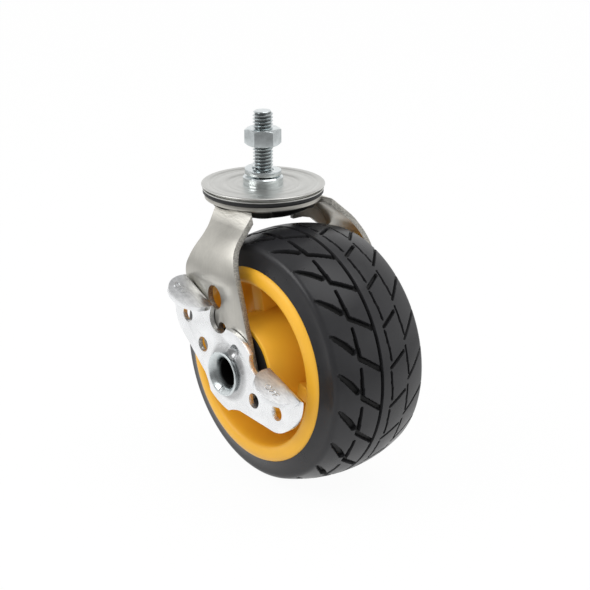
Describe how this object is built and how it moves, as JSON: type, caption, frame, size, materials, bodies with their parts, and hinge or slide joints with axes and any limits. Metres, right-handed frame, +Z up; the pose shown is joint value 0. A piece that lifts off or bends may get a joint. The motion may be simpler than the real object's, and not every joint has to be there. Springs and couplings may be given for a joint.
{
  "type": "swivel castor",
  "caption": "Swivel castor with a threaded stem, a pressed steel fork, a rubber-tyred wheel with a dished rim, and a rocking two-pedal brake lever on the axle.",
  "frame": {"origin": "on the swivel axis at the seat, the top face of the stem's collar, which is drawn up against the thing that the castor carries", "axes": "+Z up along the swivel axis and the stem, the wheel trails towards +X, its axle lies along Y, and the brake lever is on the -Y side"},
  "size_m": [0.152, 0.1266, 0.2156],
  "materials": {
    "bright_zinc": "bright blue-white zinc plate",
    "satin_plate": "satin nickel plate",
    "fork_nickel": "satin warm-grey nickel plate",
    "lever_zinc": "bright white zinc plate",
    "axle_zinc": "bright zinc plate",
    "bearing_steel": "ground steel",
    "dark_steel": "black phosphated steel",
    "seal_rubber": "black moulded rubber",
    "cap_black": "black moulded plastic",
    "rim_yellow": "satin yellow moulded nylon",
    "tyre_rubber": "charcoal moulded rubber"
  },
  "bodies": {
    "head": {"stem": "bright_zinc", "hex_nut": "bright_zinc", "spring_washer": "bright_zinc", "top_plate": "satin_plate", "dust_shield": "satin_plate", "dust_seal": "seal_rubber", "upper_balls": "bearing_steel", "lower_balls": "bearing_steel", "lower_race": "bearing_steel"},
    "fork": {"fork": "fork_nickel", "axle_tube": "axle_zinc", "bearing_spacer": "bearing_steel", "friction_washer_near": "dark_steel", "friction_washer_far": "dark_steel", "bearing_inner_near": "bearing_steel", "bearing_inner_far": "bearing_steel"},
    "wheel": {"wheel_rim": "rim_yellow", "tyre": "tyre_rubber", "bearing_outer_near": "bearing_steel", "bearing_outer_far": "bearing_steel", "bearing_balls_near": "bearing_steel", "bearing_balls_far": "bearing_steel", "bearing_seal_near": "seal_rubber", "bearing_seal_far": "seal_rubber", "dust_cap_near": "cap_black", "dust_cap_far": "cap_black"},
    "brake_lever": {"brake_lever": "lever_zinc"}
  },
  "joints": [
    {"name": "swivel", "type": "hinge", "parent": "head", "child": "fork", "pos_m": [0, 0, 0], "axis": [0, 0, 1], "continuous": true},
    {"name": "wheel_spin", "type": "hinge", "parent": "fork", "child": "wheel", "pos_m": [0.0365, 0, -0.10055], "axis": [0, 1, 0], "continuous": true},
    {"name": "brake_rock", "type": "hinge", "parent": "fork", "child": "brake_lever", "pos_m": [0.0365, 0, -0.10055], "axis": [0, -1, 0], "range_deg": [0, 46.6]}
  ]
}
